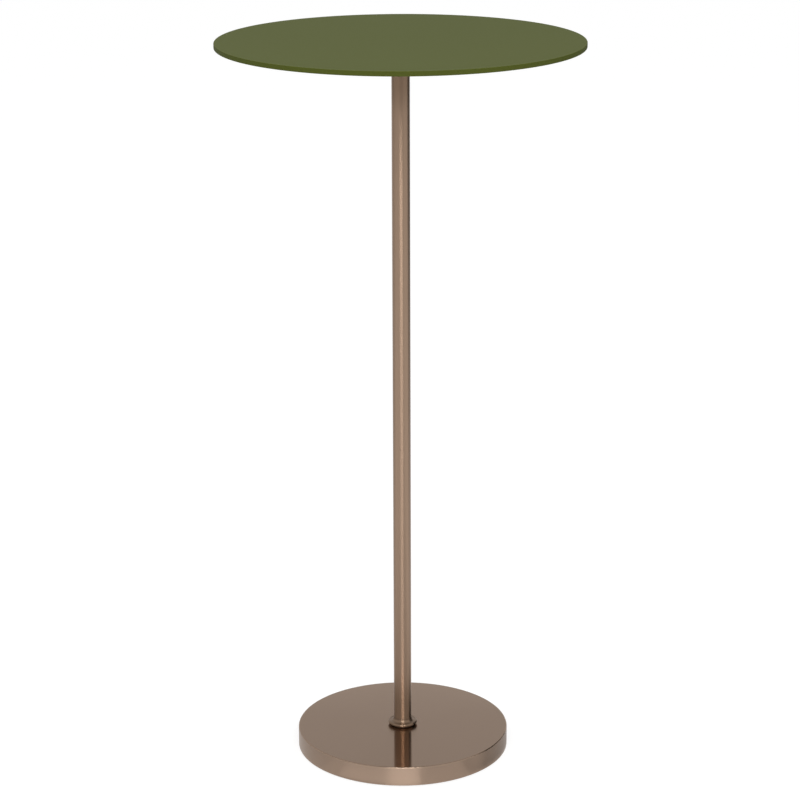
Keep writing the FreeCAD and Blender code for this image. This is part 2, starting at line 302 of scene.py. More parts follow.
# %% Patterns that the finishes share
def noise(add, place, grain, detail=2.0):
    """Soft noise from 0 to 1, whose patches are about one grain across."""
    return add("TexNoise", {"Vector": place, "Scale": 1 / grain, "Detail": detail}).outputs["Fac"]


def blend(add, share, low, high):
    """A colour between low and high, which are inputs 6 and 7 of a Mix node."""
    return add("Mix", {0: share, 6: low, 7: high}, data_type="RGBA").outputs[2]


def mixed(add, share, low, high):
    """A number between low and high, which are inputs 2 and 3 of a Mix node."""
    return add("Mix", {0: share, 2: low, 3: high}).outputs[0]


def between(add, share, low, high):
    """A number between low and high, for a share from 0 to 1."""
    return add("MapRange", {"Value": share, "To Min": low, "To Max": high}).outputs[0]


def relief(add, height, depth, strength=1.0):
    """A bumped normal whose hills are about one depth high."""
    return add("Bump", {"Height": height, "Distance": depth, "Strength": strength}).outputs[0]


print("helpers", [helper.__name__ for helper in (noise, blend, mixed, between, relief)])

# %% [markdown]
# ### Brushed bronze
#
# The pole, collar and base are steel with an antique bronze plating, brushed while they turn and then
# lacquered. Near the two ends of the pole, where the glass top and the base shade it, the hub, the collar and
# the pole get a painted shade: a deeper bronze tone. The first helper tells from a point's height how deep in
# that painted shade it lies.

# %% Find the pole's ends that get painted shade
CORNER_DEEP = 20 * MM
CORNER_FADE = 48 * MM


def corner_share(add, height, ends):
    """How deep a point lies in a corner at the pole's ends.

    The distance is the height's least way to either end. The painted shade's share is 1 up to the deep
    distance from an end, and falls along a smooth curve to 0 where the shade has faded out.
    """
    above = add("Math", {0: height, 1: ends[0]}, operation="SUBTRACT").outputs[0]
    below = add("Math", {0: ends[1], 1: height}, operation="SUBTRACT").outputs[0]
    nearest = add("Math", {0: above, 1: below}, operation="MINIMUM").outputs[0]
    fade = {"Value": nearest, "From Min": CORNER_DEEP, "From Max": CORNER_FADE, "To Min": 1.0, "To Max": 0.0}
    return add("MapRange", fade, interpolation_type="SMOOTHSTEP").outputs[0]


print("corners fade out", round(CORNER_FADE / MM), "mm from the pole's ends")

# %% [markdown]
# Brushing leaves fine lines that run round the axis. They scatter light across the lines, so a lamp draws a
# long streak up the pole and the pole's mirror image in the base is sharp sideways. Anisotropy does that:
# the tangent follows U, along the outline. The lines themselves are noise that changes fast along the
# outline and slowly round the axis, so it is read from the radius, the height and the direction of each
# point. The rounds, where the brush presses hardest, are a shade lighter.

# %% Brush the bronze
BRONZE_RUBBED = (0.39, 0.28, 0.205, 1)
# painted shade: the deeper tone near the pole's ends, where the glass top and the base shade it
CORNER_BRONZE = (0.262, 0.18, 0.124, 1)
BRUSH_LINE = 0.25 * MM
BRUSH_DETAIL = 3.0
BRUSH_DEPTH = 0.02 * MM
BRUSH_STRENGTH = 0.03
BRUSH_SPREAD = 0.02
PATINA_PATCH = 36 * MM
PATINA_SHARE = 0.35
RUBBED_SHARE = 0.4


def brushed_bronze(name, roughness, dark, light, ends=None):
    """Bronze brushed round the Z axis, between a dark and a light tone.

    The roughness sets how far a reflection runs along the outline. Where ends are given, a painted shade
    deepens the tone near them. The brushing is noise at the place (radius - height) / line width, plus the
    unit direction from the axis, so one patch of it is one line wide.
    """
    material = bpy.data.materials.new(name)
    add, feed = graph_of(material)
    place = add("TexCoord").outputs["Object"]
    flat = add("VectorMath", {0: place, 1: (1, 1, 0)}, operation="MULTIPLY").outputs[0]
    radius = add("VectorMath", {0: flat}, operation="LENGTH").outputs["Value"]
    heading = add("VectorMath", {0: flat}, operation="NORMALIZE").outputs[0]
    height = add("SeparateXYZ", {0: place}).outputs["Z"]
    travel = add("Math", {0: radius, 1: height}, operation="SUBTRACT").outputs[0]
    line = add("Math", {0: travel, 1: BRUSH_LINE}, operation="DIVIDE").outputs[0]
    across = add("CombineXYZ", {"Z": line}).outputs[0]
    groove = add("VectorMath", {0: across, 1: heading}, operation="ADD").outputs[0]
    lines = noise(add, groove, 1.0, BRUSH_DETAIL)
    mottle = mixed(add, PATINA_SHARE, lines, noise(add, place, PATINA_PATCH))
    edge = add("Attribute", attribute_name="edge").outputs["Fac"]
    rubbed = add("Math", {0: edge, 1: RUBBED_SHARE}, operation="MULTIPLY").outputs[0]
    colour = blend(add, rubbed, blend(add, mottle, dark, light), BRONZE_RUBBED)
    if ends:
        # painted shade near the pole's ends
        colour = blend(add, corner_share(add, height, ends), colour, CORNER_BRONZE)
    feed("Principled BSDF", {
        "Base Color": colour, "Metallic": 1.0, "Anisotropic": 1.0,
        "Roughness": between(add, lines, roughness - BRUSH_SPREAD, roughness + BRUSH_SPREAD),
        "Tangent": add("Tangent", direction_type="UV_MAP", uv_map="turned").outputs[0],
        "Normal": relief(add, lines, BRUSH_DEPTH, BRUSH_STRENGTH),
    })
    return material


print("brush lines are about", BRUSH_LINE / MM, "mm wide")

# %% [markdown]
# Three bronzes come from that recipe. The pole, the hub and the collar get the painted shade at the pole's
# ends. The base and the plate have walls a touch greyer, a painted sheen of the lacquer on those upright
# faces, and their flat faces are brushed finer, so the base mirrors the pole more clearly.

# %% Make the three bronzes
BRONZE = (0.346, 0.241, 0.173, 1)
BRONZE_DARK = (0.315, 0.218, 0.156, 1)
# painted sheen: the wall tones are greyer than the bronze, standing in for the lacquer's sheen on upright
# faces
WALL_BRONZE = (0.336, 0.243, 0.182, 1)
WALL_BRONZE_DARK = (0.306, 0.219, 0.164, 1)
BRUSHED_ROUGH = 0.35
FINE_BRUSHED_ROUGH = 0.15
# the painted shade darkens the pole, the hub and the collar near these two ends
pole_ends = sizes["pole_tube"][2:]
pole_bronze = brushed_bronze("pole_bronze", BRUSHED_ROUGH, BRONZE_DARK, BRONZE, pole_ends)
wall_bronze = brushed_bronze("wall_bronze", BRUSHED_ROUGH, WALL_BRONZE_DARK, WALL_BRONZE)
base_bronze = brushed_bronze("base_bronze", FINE_BRUSHED_ROUGH, BRONZE_DARK, BRONZE)
print("made", pole_bronze.name, wall_bronze.name, base_bronze.name)

# %% [markdown]
# ### Green lacquered glass
#
# The top is clear glass lacquered olive green on its underside. Seen from above the lacquer looks as if it
# were in the glass, so one opaque finish shows it: a diffuse green under a satin sheen, which greys the green
# where the face is seen at a low angle. The lacquer is sprayed, so its colour drifts very slightly over a
# hand's width. The ground rim looks into the lacquer from the side, so it has less sheen, and its deeper
# green is partly the glass edge's own depth and partly painted shade on the upright rim.

# %% Make the green glass
GREEN = (0.0768, 0.0925, 0.0048, 1)
GREEN_DEEP = (0.0728, 0.0885, 0.0041, 1)
# partly painted shade: the rim's green is darker than the face's
RIM_GREEN = (0.051, 0.0625, 0.002, 1)
RIM_GREEN_DEEP = (0.048, 0.0593, 0.0015, 1)
FACE_IOR = 1.5
RIM_IOR = 1.33
SPRAY_DRIFT = 110 * MM
SPRAY_DETAIL = 3.0
SATIN_GRAIN = 0.3 * MM
SATIN_SMOOTH, SATIN_ROUGH = 0.77, 0.83


def lacquered_glass(name, light, deep, ior):
    """Green lacquer under a satin skin; a higher index of refraction gives more sheen."""
    material = bpy.data.materials.new(name)
    add, feed = graph_of(material)
    place = add("TexCoord").outputs["Object"]
    colour = blend(add, noise(add, place, SPRAY_DRIFT, SPRAY_DETAIL), deep, light)
    satin = noise(add, place, SATIN_GRAIN)
    feed("Principled BSDF", {
        "Base Color": colour, "IOR": ior,
        "Roughness": between(add, satin, SATIN_SMOOTH, SATIN_ROUGH),
    })
    return material


glass_face = lacquered_glass("green_glass_face", GREEN, GREEN_DEEP, FACE_IOR)
glass_rim = lacquered_glass("green_glass_rim", RIM_GREEN, RIM_GREEN_DEEP, RIM_IOR)
print("made", glass_face.name, glass_rim.name)

# %% [markdown]
# ### Zinc and iron
#
# The pieces that hold the table together are hidden, but they come into view when it is taken apart. The
# screw, the stud, the bushes and the two washers at the screw's head have bright zinc plating: a pale,
# slightly clouded metal with fine tool marks in its gloss. One noise makes the clouds, and a much finer one
# the marks.

# %% Make the zinc
ZINC_DULL = (0.5, 0.51, 0.53, 1)
ZINC_PALE = (0.66, 0.67, 0.67, 1)
ZINC_SMOOTH, ZINC_ROUGH = 0.24, 0.4
ZINC_CLOUD = 4 * MM
CLOUD_DETAIL = 4.0
TOOL_MARK = 0.15 * MM
TOOL_MARK_DEPTH = 0.01 * MM

zinc = bpy.data.materials.new("zinc_plate")
add, feed = graph_of(zinc)
place = add("TexCoord").outputs["Object"]
cloud = noise(add, place, ZINC_CLOUD, CLOUD_DETAIL)
marks = noise(add, place, TOOL_MARK)
feed("Principled BSDF", {
    "Base Color": blend(add, cloud, ZINC_DULL, ZINC_PALE), "Metallic": 1.0,
    "Roughness": between(add, marks, ZINC_SMOOTH, ZINC_ROUGH),
    "Normal": relief(add, marks, TOOL_MARK_DEPTH),
})
print("made", zinc.name)

# %% [markdown]
# The weight keeps the skin of its sand mould under black primer. That skin is fine grit on coarse waves, so
# two noises are mixed, and the same mix raises the surface and lightens it.

# %% Make the iron
IRON_BLACK = (0.035, 0.035, 0.037, 1)
IRON_GREY = (0.085, 0.084, 0.084, 1)
IRON_SMOOTH, IRON_ROUGH = 0.55, 0.8
SAND_GRIT = 0.8 * MM
GRIT_DETAIL = 4.0
CAST_WAVE = 14 * MM
WAVE_SHARE = 0.4
SAND_DEPTH = 0.3 * MM

iron = bpy.data.materials.new("primed_iron")
add, feed = graph_of(iron)
place = add("TexCoord").outputs["Object"]
grit = noise(add, place, SAND_GRIT, GRIT_DETAIL)
skin = mixed(add, WAVE_SHARE, grit, noise(add, place, CAST_WAVE))
feed("Principled BSDF", {
    "Base Color": blend(add, skin, IRON_BLACK, IRON_GREY),
    "Roughness": between(add, grit, IRON_SMOOTH, IRON_ROUGH),
    "Normal": relief(add, skin, SAND_DEPTH),
})
print("made", iron.name)

# %% [markdown]
# ### Fibre, foam and rubber
#
# The washer under the collar is pressed black fibre. Its matted threads run along the sheet and hardly
# through it, so the noise is squeezed in height.

# %% Make the fibre
FIBRE_BLACK = (0.01, 0.01, 0.009, 1)
FIBRE_BROWN = (0.022, 0.02, 0.018, 1)
FIBRE_SMOOTH, FIBRE_ROUGH = 0.75, 0.95
FIBRE_SQUEEZE = (1, 1, 6)
FIBRE_THREAD = 0.4 * MM
FIBRE_DETAIL = 5.0
FIBRE_DEPTH = 0.05 * MM

fibre = bpy.data.materials.new("pressed_fibre")
add, feed = graph_of(fibre)
place = add("TexCoord").outputs["Object"]
matted = add("VectorMath", {0: place, 1: FIBRE_SQUEEZE}, operation="MULTIPLY").outputs[0]
threads = noise(add, matted, FIBRE_THREAD, FIBRE_DETAIL)
feed("Principled BSDF", {
    "Base Color": blend(add, threads, FIBRE_BLACK, FIBRE_BROWN),
    "Roughness": between(add, threads, FIBRE_SMOOTH, FIBRE_ROUGH),
    "Normal": relief(add, threads, FIBRE_DEPTH),
})
print("made", fibre.name)

# %% [markdown]
# The pad under the glass is grey foam with tiny cells, and the ring that the table stands on is rubber,
# moulded with a fine pebble. Both are sheets of rounded cells, each of its own size, so one helper makes
# them.

# %% Make the foam and the rubber
CELL_SPREAD = 0.08
FOAM_DARK = (0.16, 0.16, 0.16, 1)
FOAM_LIGHT = (0.27, 0.27, 0.27, 1)
FOAM_ROUGH = 0.85
FOAM_CELL = 0.5 * MM
FOAM_DEPTH = 0.12 * MM
RUBBER_DARK = (0.016, 0.016, 0.016, 1)
RUBBER_LIGHT = (0.034, 0.034, 0.034, 1)
RUBBER_ROUGH = 0.72
RUBBER_PEBBLE = 1.2 * MM
RUBBER_DEPTH = 0.1 * MM


def celled(name, dark, light, cell, depth, roughness):
    """A soft sheet made of rounded cells, light in the middle of each cell and dark between them.

    The cells are smoothed distances to scattered points. The height is minus depth times that distance.
    """
    material = bpy.data.materials.new(name)
    add, feed = graph_of(material)
    place = add("TexCoord").outputs["Object"]
    cells = add("TexVoronoi", {"Vector": place, "Scale": 1 / cell}, feature="SMOOTH_F1").outputs["Distance"]
    feed("Principled BSDF", {
        "Base Color": blend(add, cells, light, dark),
        "Roughness": between(add, cells, roughness - CELL_SPREAD, roughness + CELL_SPREAD),
        "Normal": relief(add, cells, -depth),
    })
    return material


foam = celled("acrylic_foam", FOAM_DARK, FOAM_LIGHT, FOAM_CELL, FOAM_DEPTH, FOAM_ROUGH)
rubber = celled("moulded_rubber", RUBBER_DARK, RUBBER_LIGHT, RUBBER_PEBBLE, RUBBER_DEPTH, RUBBER_ROUGH)
print("made", foam.name, rubber.name)

# %% [markdown]
# ## The top
#
# The top is a disc of 4 mm toughened glass. A glazier grinds its sharp edges off before toughening, so the
# rim has two narrow seams, which show as fine lines of light. The outline is a plain rectangle with those
# two corners rounded, turned about the axis.

# %% Turn the glass
GLASS_SEAM = 0.5 * MM
_, radius, foot, top = sizes["glass_top"]
glass = turned("lacquered_top", [
    (0, foot, 0),
    (radius, foot, GLASS_SEAM),
    (radius, top, GLASS_SEAM),
    (0, top, 0),
], closed=False)
show(glass, "glass_top", glass_face, glass_rim)

# %% [markdown]
# Under the glass lie a pad of double-sided foam, which takes up the small unevenness between glass and
# steel, and the steel plate that carries it. Foam bulges a little at its cut edge. The plate is sawn from
# bar and faced in the lathe, with a bevel below so that no edge meets the hand that lifts the table.

# %% Turn the foam pad and the plate
FOAM_BULGE = 0.35 * MM
PLATE_BEVEL = 1.0 * MM
PLATE_EDGE = 0.2 * MM
_, radius, foot, top = sizes["bond_pad"]
pad = turned("foam_pad", [
    (0, foot, 0),
    (radius, foot, FOAM_BULGE),
    (radius, top, FOAM_BULGE),
    (0, top, 0),
], closed=False)
show(pad, "bond_pad", foam)

plate_hole, radius, plate_foot, top = sizes["mounting_plate"]
plate = turned("faced_plate", [
    (plate_hole, plate_foot, 0),
    (radius - PLATE_BEVEL, plate_foot, PLATE_EDGE),
    (radius, plate_foot + PLATE_BEVEL, PLATE_EDGE),
    (radius, top, PLATE_EDGE),
    (plate_hole, top, 0),
])
show(plate, "mounting_plate", base_bronze, wall_bronze)

# %% [markdown]
# The hub is turned from one bar. Its spigot goes up into the plate and is welded there, its taper leads the
# eye from the plate down to the pole, and its socket takes the pole's end so that the joint is only a thin
# line.

# %% Turn the hub
FIT = 0.05 * MM
HUB_LIP = 1.6 * MM
HUB_LAND = 2.5 * MM
HUB_SOFT = 0.6 * MM
HUB_SOCKET = 6.0 * MM
HUB_CAP = 1.2 * MM
_, radius, foot, top = sizes["plate_hub"]
pole_radius = sizes["pole_tube"][1]
thread_radius = sizes["top_stud"][1]
socket = pole_radius + FIT
spigot = plate_hole - FIT
hub = turned("turned_hub", [
    (0, top - HUB_CAP, 0),
    (thread_radius + FIT, top - HUB_CAP, 0),
    (thread_radius + FIT, foot + HUB_SOCKET, 0),
    (socket, foot + HUB_SOCKET, 0),
    (socket, foot, 0),
    (pole_radius + HUB_LIP, foot, HUB_SOFT),
    (pole_radius + HUB_LIP, foot + HUB_LAND, HUB_SOFT),
    (radius, plate_foot - HUB_LAND, HUB_SOFT),
    (radius, plate_foot, 0),
    (spigot, plate_foot, 0),
    (spigot, top, PLATE_EDGE),
    (0, top, 0),
], closed=False)
show(hub, "plate_hub", pole_bronze)

# %% [markdown]
# ## Screw threads
#
# A thread is a groove that climbs one pitch in each turn. One formula serves the stud, the screw and both
# bushes: it is measured from the floor, so the crest of one piece faces the groove of the next, as it does
# when they are screwed together. The groove fades over the first and last turn, as a cut thread does.

# %% Cut a thread
PITCH = 1.25 * MM
CREST_SHARE = 0.14
ROWS_PER_PITCH = 10
SCREW_SEGMENTS = 96
screw_turn = np.linspace(0, 2 * math.pi, SCREW_SEGMENTS + 1)


def thread(foot, top, radius, depth):
    """Radius and height rows of a thread between two levels.

    The share of a pitch from the crest is w = |2 frac(h / pitch - a / full turn) - 1|, from 0 to 1. The
    radius changes by depth times w, with w stretched so that crest and root keep a narrow flat, and the whole
    is scaled down to nothing over the last pitch at each end.
    """
    rows = int((top - foot) / PITCH * ROWS_PER_PITCH)
    height = np.linspace(foot, top, rows)[:, None]
    climb = (height / PITCH - screw_turn / (2 * math.pi)) % 1
    away = np.clip((np.abs(2 * climb - 1) - CREST_SHARE) / (1 - 2 * CREST_SHARE), 0, 1)
    fade = np.clip(np.minimum(height - foot, top - height) / PITCH, 0, 1)
    return radius - depth * fade * away, height


def stacked(name, *bands):
    """A piece from bands of radius and height rows, one after the other from the foot to the top."""
    grids = [np.broadcast_arrays(np.atleast_2d(radius), np.atleast_2d(height), screw_turn)[:2]
             for radius, height in bands]
    radius, height = (np.vstack(rows) for rows in zip(*grids))
    return carried_round(name, radius, height, 0.0, screw_turn)


print("a thread has", ROWS_PER_PITCH, "rows in each pitch and", SCREW_SEGMENTS, "steps in each turn")

# %% [markdown]
# The stud is a short length of threaded rod, fixed in the hub. Both of its ends are bevelled to a blunt
# point, so that it finds its way into the bush at the top of the pole.

# %% Make the stud
THREAD_DEPTH = 0.6 * MM
STUD_POINT = 0.8 * MM
_, _, foot, top = sizes["top_stud"]
stud = stacked(
    "threaded_stud",
    (0, foot),
    (thread_radius - STUD_POINT, foot),
    thread(foot + STUD_POINT, top - STUD_POINT, thread_radius, THREAD_DEPTH),
    (thread_radius - STUD_POINT, top),
    (0, top),
)
show(stud, "top_stud", zinc)

# %% [markdown]
# The two bushes are pressed into the ends of the tube and brazed. A straight knurl on the outside, a ring
# of small upright grooves, keys them into the tube so that they can't turn when the screw is tightened.

# %% Make the bushes
BUSH_THREAD_DEPTH = 0.4 * MM
KNURL_COUNT = 24
KNURL_DEPTH = 0.12 * MM
BUSH_BEVEL = 0.4 * MM
knurl = KNURL_DEPTH * np.abs(np.sin(KNURL_COUNT / 2 * screw_turn))

for node in ("lower_insert", "upper_insert"):
    bore, radius, foot, top = sizes[node]
    cut, level = thread(foot + BUSH_BEVEL, top - BUSH_BEVEL, bore, -BUSH_THREAD_DEPTH)
    bush = stacked(
        node.replace("insert", "bush"),
        (bore + BUSH_BEVEL, foot),
        (radius - BUSH_BEVEL, foot),
        (radius - knurl, foot + BUSH_BEVEL),
        (radius - knurl, top - BUSH_BEVEL),
        (radius - BUSH_BEVEL, top),
        (bore + BUSH_BEVEL, top),
        (cut[::-1], level[::-1]),
        (bore + BUSH_BEVEL, foot),
    )
    show(bush, node, zinc)

# %% [markdown]
# ## The pole and its collar
#
# The pole is a drawn steel tube, brushed round and plated. Its ends are deburred and sit in the hub above
# and in the collar below, so no cut edge shows.

# %% Turn the pole
POLE_EDGE = 0.25 * MM
bore, _, pole_foot, pole_top = sizes["pole_tube"]
pole = turned("brushed_pole", [
    (bore, pole_foot, 0),
    (pole_radius, pole_foot, POLE_EDGE),
    (pole_radius, pole_top, POLE_EDGE),
    (bore, pole_top, 0),
])
show(pole, "pole_tube", pole_bronze)

# %% [markdown]
# The collar flares from the pole to the base. A hollow cove rises to a thin neck round the pole and mirrors
# the lamp as a bright ring. The flange below has a rounded edge, and its underside is bevelled back to a
# dark line. Both come from rounding the corners of a stepped ring, the inner corner as well as the outer
# ones.

# %% Turn the collar
FLANGE_HEIGHT = 3.2 * MM
FLANGE_ROUND = 1.3 * MM
FLANGE_BEVEL = 1.7 * MM
BEVEL_EDGE = 0.2 * MM
BEVEL_BROW = 0.4 * MM
COVE = 2.3 * MM
NECK_WALL = 0.35 * MM
NECK_EDGE = 0.15 * MM
hole, radius, foot, top = sizes["collar"]
neck = socket + NECK_WALL
collar = turned("flared_collar", [
    (hole, foot, 0),
    (radius - FLANGE_BEVEL, foot, BEVEL_EDGE),
    (radius, foot + FLANGE_BEVEL, BEVEL_BROW),
    (radius, foot + FLANGE_HEIGHT, FLANGE_ROUND),
    (neck, foot + FLANGE_HEIGHT, COVE),
    (neck, top, NECK_EDGE),
    (socket, top, NECK_EDGE),
    (socket, pole_foot, 0),
    (hole, pole_foot, 0),
])
show(collar, "collar", pole_bronze)

# %% [markdown]
# A thin washer of black fibre lies between the collar and the cover of the base. It keeps plating from
# rubbing on plating when the screw is tightened, and stays out of sight under the bevel of the flange.

# %% Turn the fibre washer
WASHER_EDGE = 0.1 * MM
hole, radius, foot, top = sizes["collar_washer"]
washer = turned("fibre_washer", [
    (hole, foot, 0),
    (radius, foot, WASHER_EDGE),
    (radius, top, WASHER_EDGE),
    (hole, top, 0),
])
show(washer, "collar_washer", fibre)

# %% [markdown]
# ## The base
#
# The base is a shallow cover spun from steel sheet over a cast-iron weight. The spinner presses the sheet
# over a wooden form, which leaves a small round at the shoulder and a plain cut edge below. Its flat top
# and its upright wall get the two bronzes of the base.

# %% Turn the cover
COVER_WALL = 0.8 * MM
COVER_SHOULDER = 1.1 * MM
COVER_CUT = 0.2 * MM
hole, radius, foot, top = sizes["base_cover"]
cover = turned("spun_cover", [
    (hole, top - COVER_WALL, 0),
    (radius - COVER_WALL, top - COVER_WALL, 0),
    (radius - COVER_WALL, foot, COVER_CUT),
    (radius, foot, COVER_CUT),
    (radius, top, COVER_SHOULDER),
    (hole, top, 0),
])
show(cover, "base_cover", base_bronze, wall_bronze)

# %% [markdown]
# The weight is cast in sand, so its corners are soft and the recess in its underside widens towards the
# mouth, which lets the pattern leave the mould. The screw's head and its washers lie in that recess, clear
# of the floor.

# %% Turn the weight
WEIGHT_TOP_BEVEL = 1.5 * MM
WEIGHT_FOOT_BEVEL = 1.0 * MM
RECESS_RADIUS = 18.0 * MM
RECESS_DRAFT = 1.0 * MM
RECESS_ROOF = 1.5 * MM
CAST_ROUND = 0.5 * MM
hole, radius, foot, top = sizes["base_weight"]
recess_top = sizes["flat_washer"][3]
weight = turned("cast_weight", [
    (hole, recess_top, 0),
    (RECESS_RADIUS, recess_top, RECESS_ROOF),
    (RECESS_RADIUS + RECESS_DRAFT, foot, CAST_ROUND),
    (radius - WEIGHT_FOOT_BEVEL, foot, CAST_ROUND),
    (radius, foot + WEIGHT_FOOT_BEVEL, CAST_ROUND),
    (radius, top - WEIGHT_TOP_BEVEL, CAST_ROUND),
    (radius - WEIGHT_TOP_BEVEL, top, CAST_ROUND),
    (hole, top, 0),
])
show(weight, "base_weight", iron)

# %% [markdown]
# A flat washer spreads the screw's pull over the iron. It is punched from sheet, which rounds the edge on
# one side only, and that side faces the screw.

# %% Turn the flat washer
PUNCHED_EDGE = 0.3 * MM
hole, radius, foot, top = sizes["flat_washer"]
flat_washer = turned("punched_washer", [
    (hole, foot, 0),
    (radius, foot, PUNCHED_EDGE),
    (radius, top, 0),
    (hole, top, 0),
])
show(flat_washer, "flat_washer", zinc)

# %% [markdown]
# A split washer keeps the screw from working loose. It is a bar bent into a ring, so it isn't turned: its
# section is carried round from one side of a leaning slit to the other, and both ends are closed.

# %% Bend the split washer
SLIT_GAP = 1.2 * MM
SLIT_SLOPE = 0.4


def split_ring(name, corners, middle):
    """Carry a closed outline round Z from one side of a slit to the other.

    The slit's sides are the planes x = slope (h - middle) -+ gap / 2 at +Y, so a point at radius r starts at
    the angle whose cosine is the first x over r, and ends one full turn past the angle of the second. At each
    end the outline is drawn together at its own centre, which closes the ring.
    """
    radius, height, edge = np.hsplit(outline_of(corners, closed=True), 3)
    lean = SLIT_SLOPE * (height - middle)
    start = np.arccos((lean - SLIT_GAP / 2) / radius)
    end = 2 * math.pi + np.arccos((lean + SLIT_GAP / 2) / radius)
    angle = start + np.linspace(0, 1, SCREW_SEGMENTS) * (end - start)
    points = np.stack(np.broadcast_arrays(radius * np.cos(angle), radius * np.sin(angle), height), axis=-1)
    caps = [np.broadcast_to(side.mean(axis=0), side.shape) for side in (points[:, :1], points[:, -1:])]
    points = np.concatenate([caps[0], points, caps[1]], axis=1)
    return lay_mesh(name, points, points[..., :2], np.broadcast_to(edge, points.shape[:2]))


hole, radius, foot, top = sizes["spring_washer"]
spring = split_ring("split_washer", [
    (hole, foot, PUNCHED_EDGE),
    (radius, foot, PUNCHED_EDGE),
    (radius, top, PUNCHED_EDGE),
    (hole, top, PUNCHED_EDGE),
], (foot + top) / 2)
show(spring, "spring_washer", zinc)

# %% [markdown]
# The screw that clamps the whole foot together has a low round head with a hexagon socket, turned down
# towards the floor. The socket's radius follows the six flats, the head's side has a straight knurl for the
# fingers, and the shank carries the thread. All of it is one stack of rows from the socket's floor to the
# screw's tip.

# %% Make the screw
HEAD_HEIGHT = 5.0 * MM
HEAD_BEVEL = 0.6 * MM
HEX_SIDES = 6
HEX_FLATS = 5.0 * MM
HEX_DEPTH = 2.7 * MM
HEX_LEAD = 0.35 * MM
SCREW_POINT = 1.0 * MM
_, radius, foot, top = sizes["base_bolt"]
sector = 2 * math.pi / HEX_SIDES
hexagon = HEX_FLATS / 2 / np.cos(screw_turn % sector - sector / 2)
screw = stacked(
    "socket_screw",
    (0, foot + HEX_DEPTH),
    (hexagon, foot + HEX_DEPTH),
    (hexagon, foot + HEX_LEAD),
    (hexagon + HEX_LEAD, foot),
    (radius - HEAD_BEVEL, foot),
    (radius - knurl, foot + HEAD_BEVEL),
    (radius - knurl, foot + HEAD_HEIGHT - HEAD_BEVEL),
    (radius - KNURL_DEPTH, foot + HEAD_HEIGHT),
    thread(foot + HEAD_HEIGHT, top - SCREW_POINT, thread_radius, THREAD_DEPTH),
    (thread_radius - SCREW_POINT, top),
    (0, top),
)
show(screw, "base_bolt", zinc)

# %% [markdown]
# The table stands on a ring of rubber, glued under the weight. It grips the floor and keeps the iron and
# the screw off it. The ring is cut from sheet with slightly rounded edges.

# %% Turn the rubber ring
PAD_EDGE = 0.5 * MM
hole, radius, foot, top = sizes["foot_pad"]
ring = turned("rubber_ring", [
    (hole, foot, PAD_EDGE),
    (radius, foot, PAD_EDGE),
    (radius, top, 0),
    (hole, top, 0),
])
show(ring, "foot_pad", rubber)

# %% [markdown]
# ## The studio
#
# The floor is plain and pale. The eye and the metal see it as near white, and it still darkens under the
# table. For the light that it throws up at the table, it is an ordinary pale floor, so the table isn't lit
# from below.

# %% Lay the floor
FLOOR_HALF = 14.0
FLOOR_GLOW = 0.74
FLOOR_TONE = (0.34, 0.34, 0.34, 1)
FLOOR_BOUNCE = (0.8, 0.8, 0.8, 1)


def sheet(name, corners):
    """A flat sheet of the studio, with a new material and the two tools for its graph."""
    mesh = bpy.data.meshes.new(name)
    mesh.from_pydata(corners, [], [range(len(corners))])
    material = bpy.data.materials.new(name)
    mesh.materials.append(material)
    card = bpy.data.objects.new(name, mesh)
    bpy.context.scene.collection.objects.link(card)
    return card, *graph_of(material)


_, add, feed = sheet("pale_floor", [
    (-FLOOR_HALF, -FLOOR_HALF, 0),
    (FLOOR_HALF, -FLOOR_HALF, 0),
    (FLOOR_HALF, FLOOR_HALF, 0),
    (-FLOOR_HALF, FLOOR_HALF, 0),
])
path = add("LightPath").outputs
seen = add("Math", {0: path["Is Camera Ray"], 1: path["Is Glossy Ray"]}, operation="MAXIMUM").outputs[0]
seen = add("Math", {0: seen, 1: path["Is Transmission Ray"]}, operation="MAXIMUM").outputs[0]
bounce = add("BsdfDiffuse", {"Color": FLOOR_BOUNCE}).outputs[0]
glow = add("Emission", {"Strength": FLOOR_GLOW}).outputs[0]
tone = add("BsdfDiffuse", {"Color": FLOOR_TONE}).outputs[0]
white = add("AddShader", {0: glow, 1: tone}).outputs[0]
feed("Material Output", {"Surface": add("MixShader", {0: seen, 1: bounce, 2: white}).outputs[0]})
print("floor", 2 * FLOOR_HALF, "m wide")

# %% [markdown]
# Metal shows its surroundings more than its own colour, so the room matters as much as the lamp. The room
# is a smooth gradient: brightest low in front, dimmer overhead and behind the table. The base mirrors the
# dim back, which gives it an even, quiet tone. The pole mirrors the bright front.

# %% Shade the room
ROOM_LEVEL = 0.98
ROOM_SLOPE = (0.0, -0.2, -0.35)
world = bpy.data.worlds.new("studio")
add, feed = graph_of(world)
heading = add("TexCoord").outputs["Generated"]
slope = add("VectorMath", {0: heading, 1: ROOM_SLOPE}, operation="DOT_PRODUCT").outputs["Value"]
level = add("Math", {0: slope, 1: ROOM_LEVEL}, operation="ADD").outputs[0]
feed("Background", {"Color": (1, 1, 1, 1), "Strength": level})
bpy.context.scene.world = world
print("room from", ROOM_LEVEL - ROOM_SLOPE[1], "in front to", ROOM_LEVEL + ROOM_SLOPE[2], "overhead")

# %% [markdown]
# One soft lamp hangs in front, above the camera. The brushing spreads it into the bright line up the pole
# and down the wall of the base, and the glass keeps it off the pole's upper end. Its power is worked out
# from its area and from how bright it should look in a mirror.

# %% Hang the lamp
LAMP_PLACE = (0.04, -2.2, 1.8)
LAMP_TARGET = (0, 0, 0.45)
LAMP_WIDTH = 1.4
LAMP_HEIGHT = 0.9
LAMP_RADIANCE = 8.1


